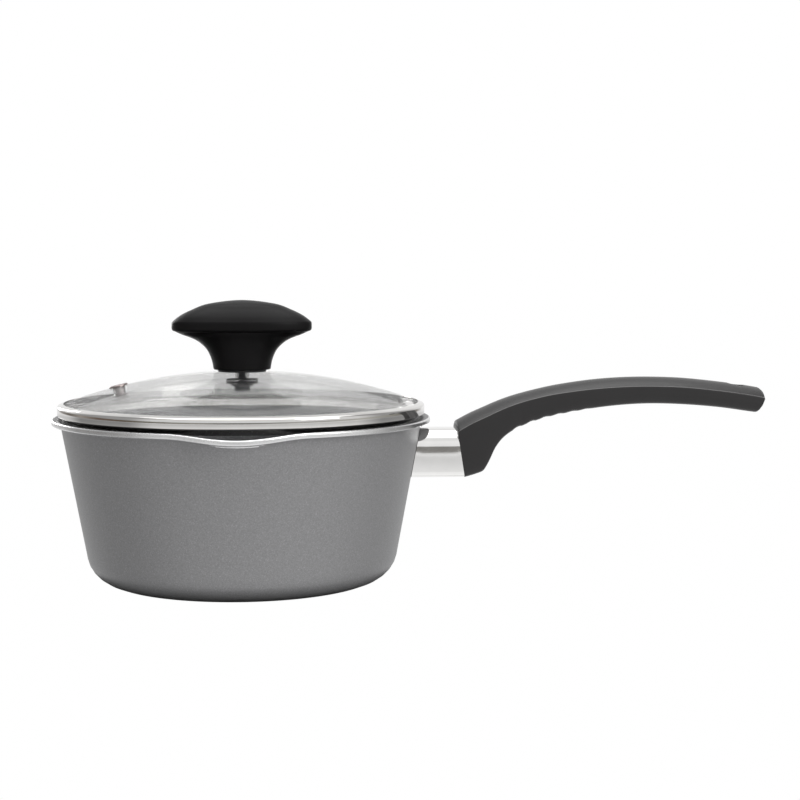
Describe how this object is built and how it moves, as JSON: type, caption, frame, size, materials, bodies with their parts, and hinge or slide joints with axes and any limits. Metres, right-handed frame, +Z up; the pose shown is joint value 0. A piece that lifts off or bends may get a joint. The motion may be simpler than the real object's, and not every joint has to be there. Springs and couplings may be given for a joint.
{
  "type": "saucepan",
  "caption": "Small saucepan with leaning walls, pouring lips and a long curved handle, under a domed glass lid with a winged knob.",
  "frame": {"origin": "centre of the pan's underside, on the pan's axis", "axes": "+Z up through the lid's knob, +X along the handle, pouring lips face -Y and +Y"},
  "size_m": [0.3588, 0.197, 0.14],
  "materials": {
    "coated_aluminium": "grey fleck coating outside, black non-stick inside, bare polished rim edge",
    "bare_aluminium": "bare, welded",
    "polished_steel": "mirror polished stainless sheet",
    "handle_phenolic": "satin moulded phenolic",
    "knob_phenolic": "satin moulded phenolic",
    "fastener_steel": "zinc plated or plain stainless",
    "insert_brass": "turned",
    "seal_rubber": "moulded black silicone",
    "lid_glass": "clear toughened, slightly green"
  },
  "bodies": {
    "pan": {"pan_body": "coated_aluminium", "handle_stud": "bare_aluminium", "flame_guard": "polished_steel", "handle": "handle_phenolic", "handle_screw": "fastener_steel", "lock_washer": "fastener_steel"},
    "lid": {"lid_band": "polished_steel", "lid_glass": "lid_glass", "vent_eyelet": "polished_steel", "knob": "knob_phenolic", "knob_insert": "insert_brass", "knob_gasket": "seal_rubber", "glass_seal": "seal_rubber", "cup_washer": "fastener_steel", "knob_screw": "fastener_steel"}
  },
  "joints": [
    {"name": "lid_lift", "type": "slide", "parent": "pan", "child": "lid", "axis": [0, 0, 1], "range_m": [0, 0.12]}
  ]
}
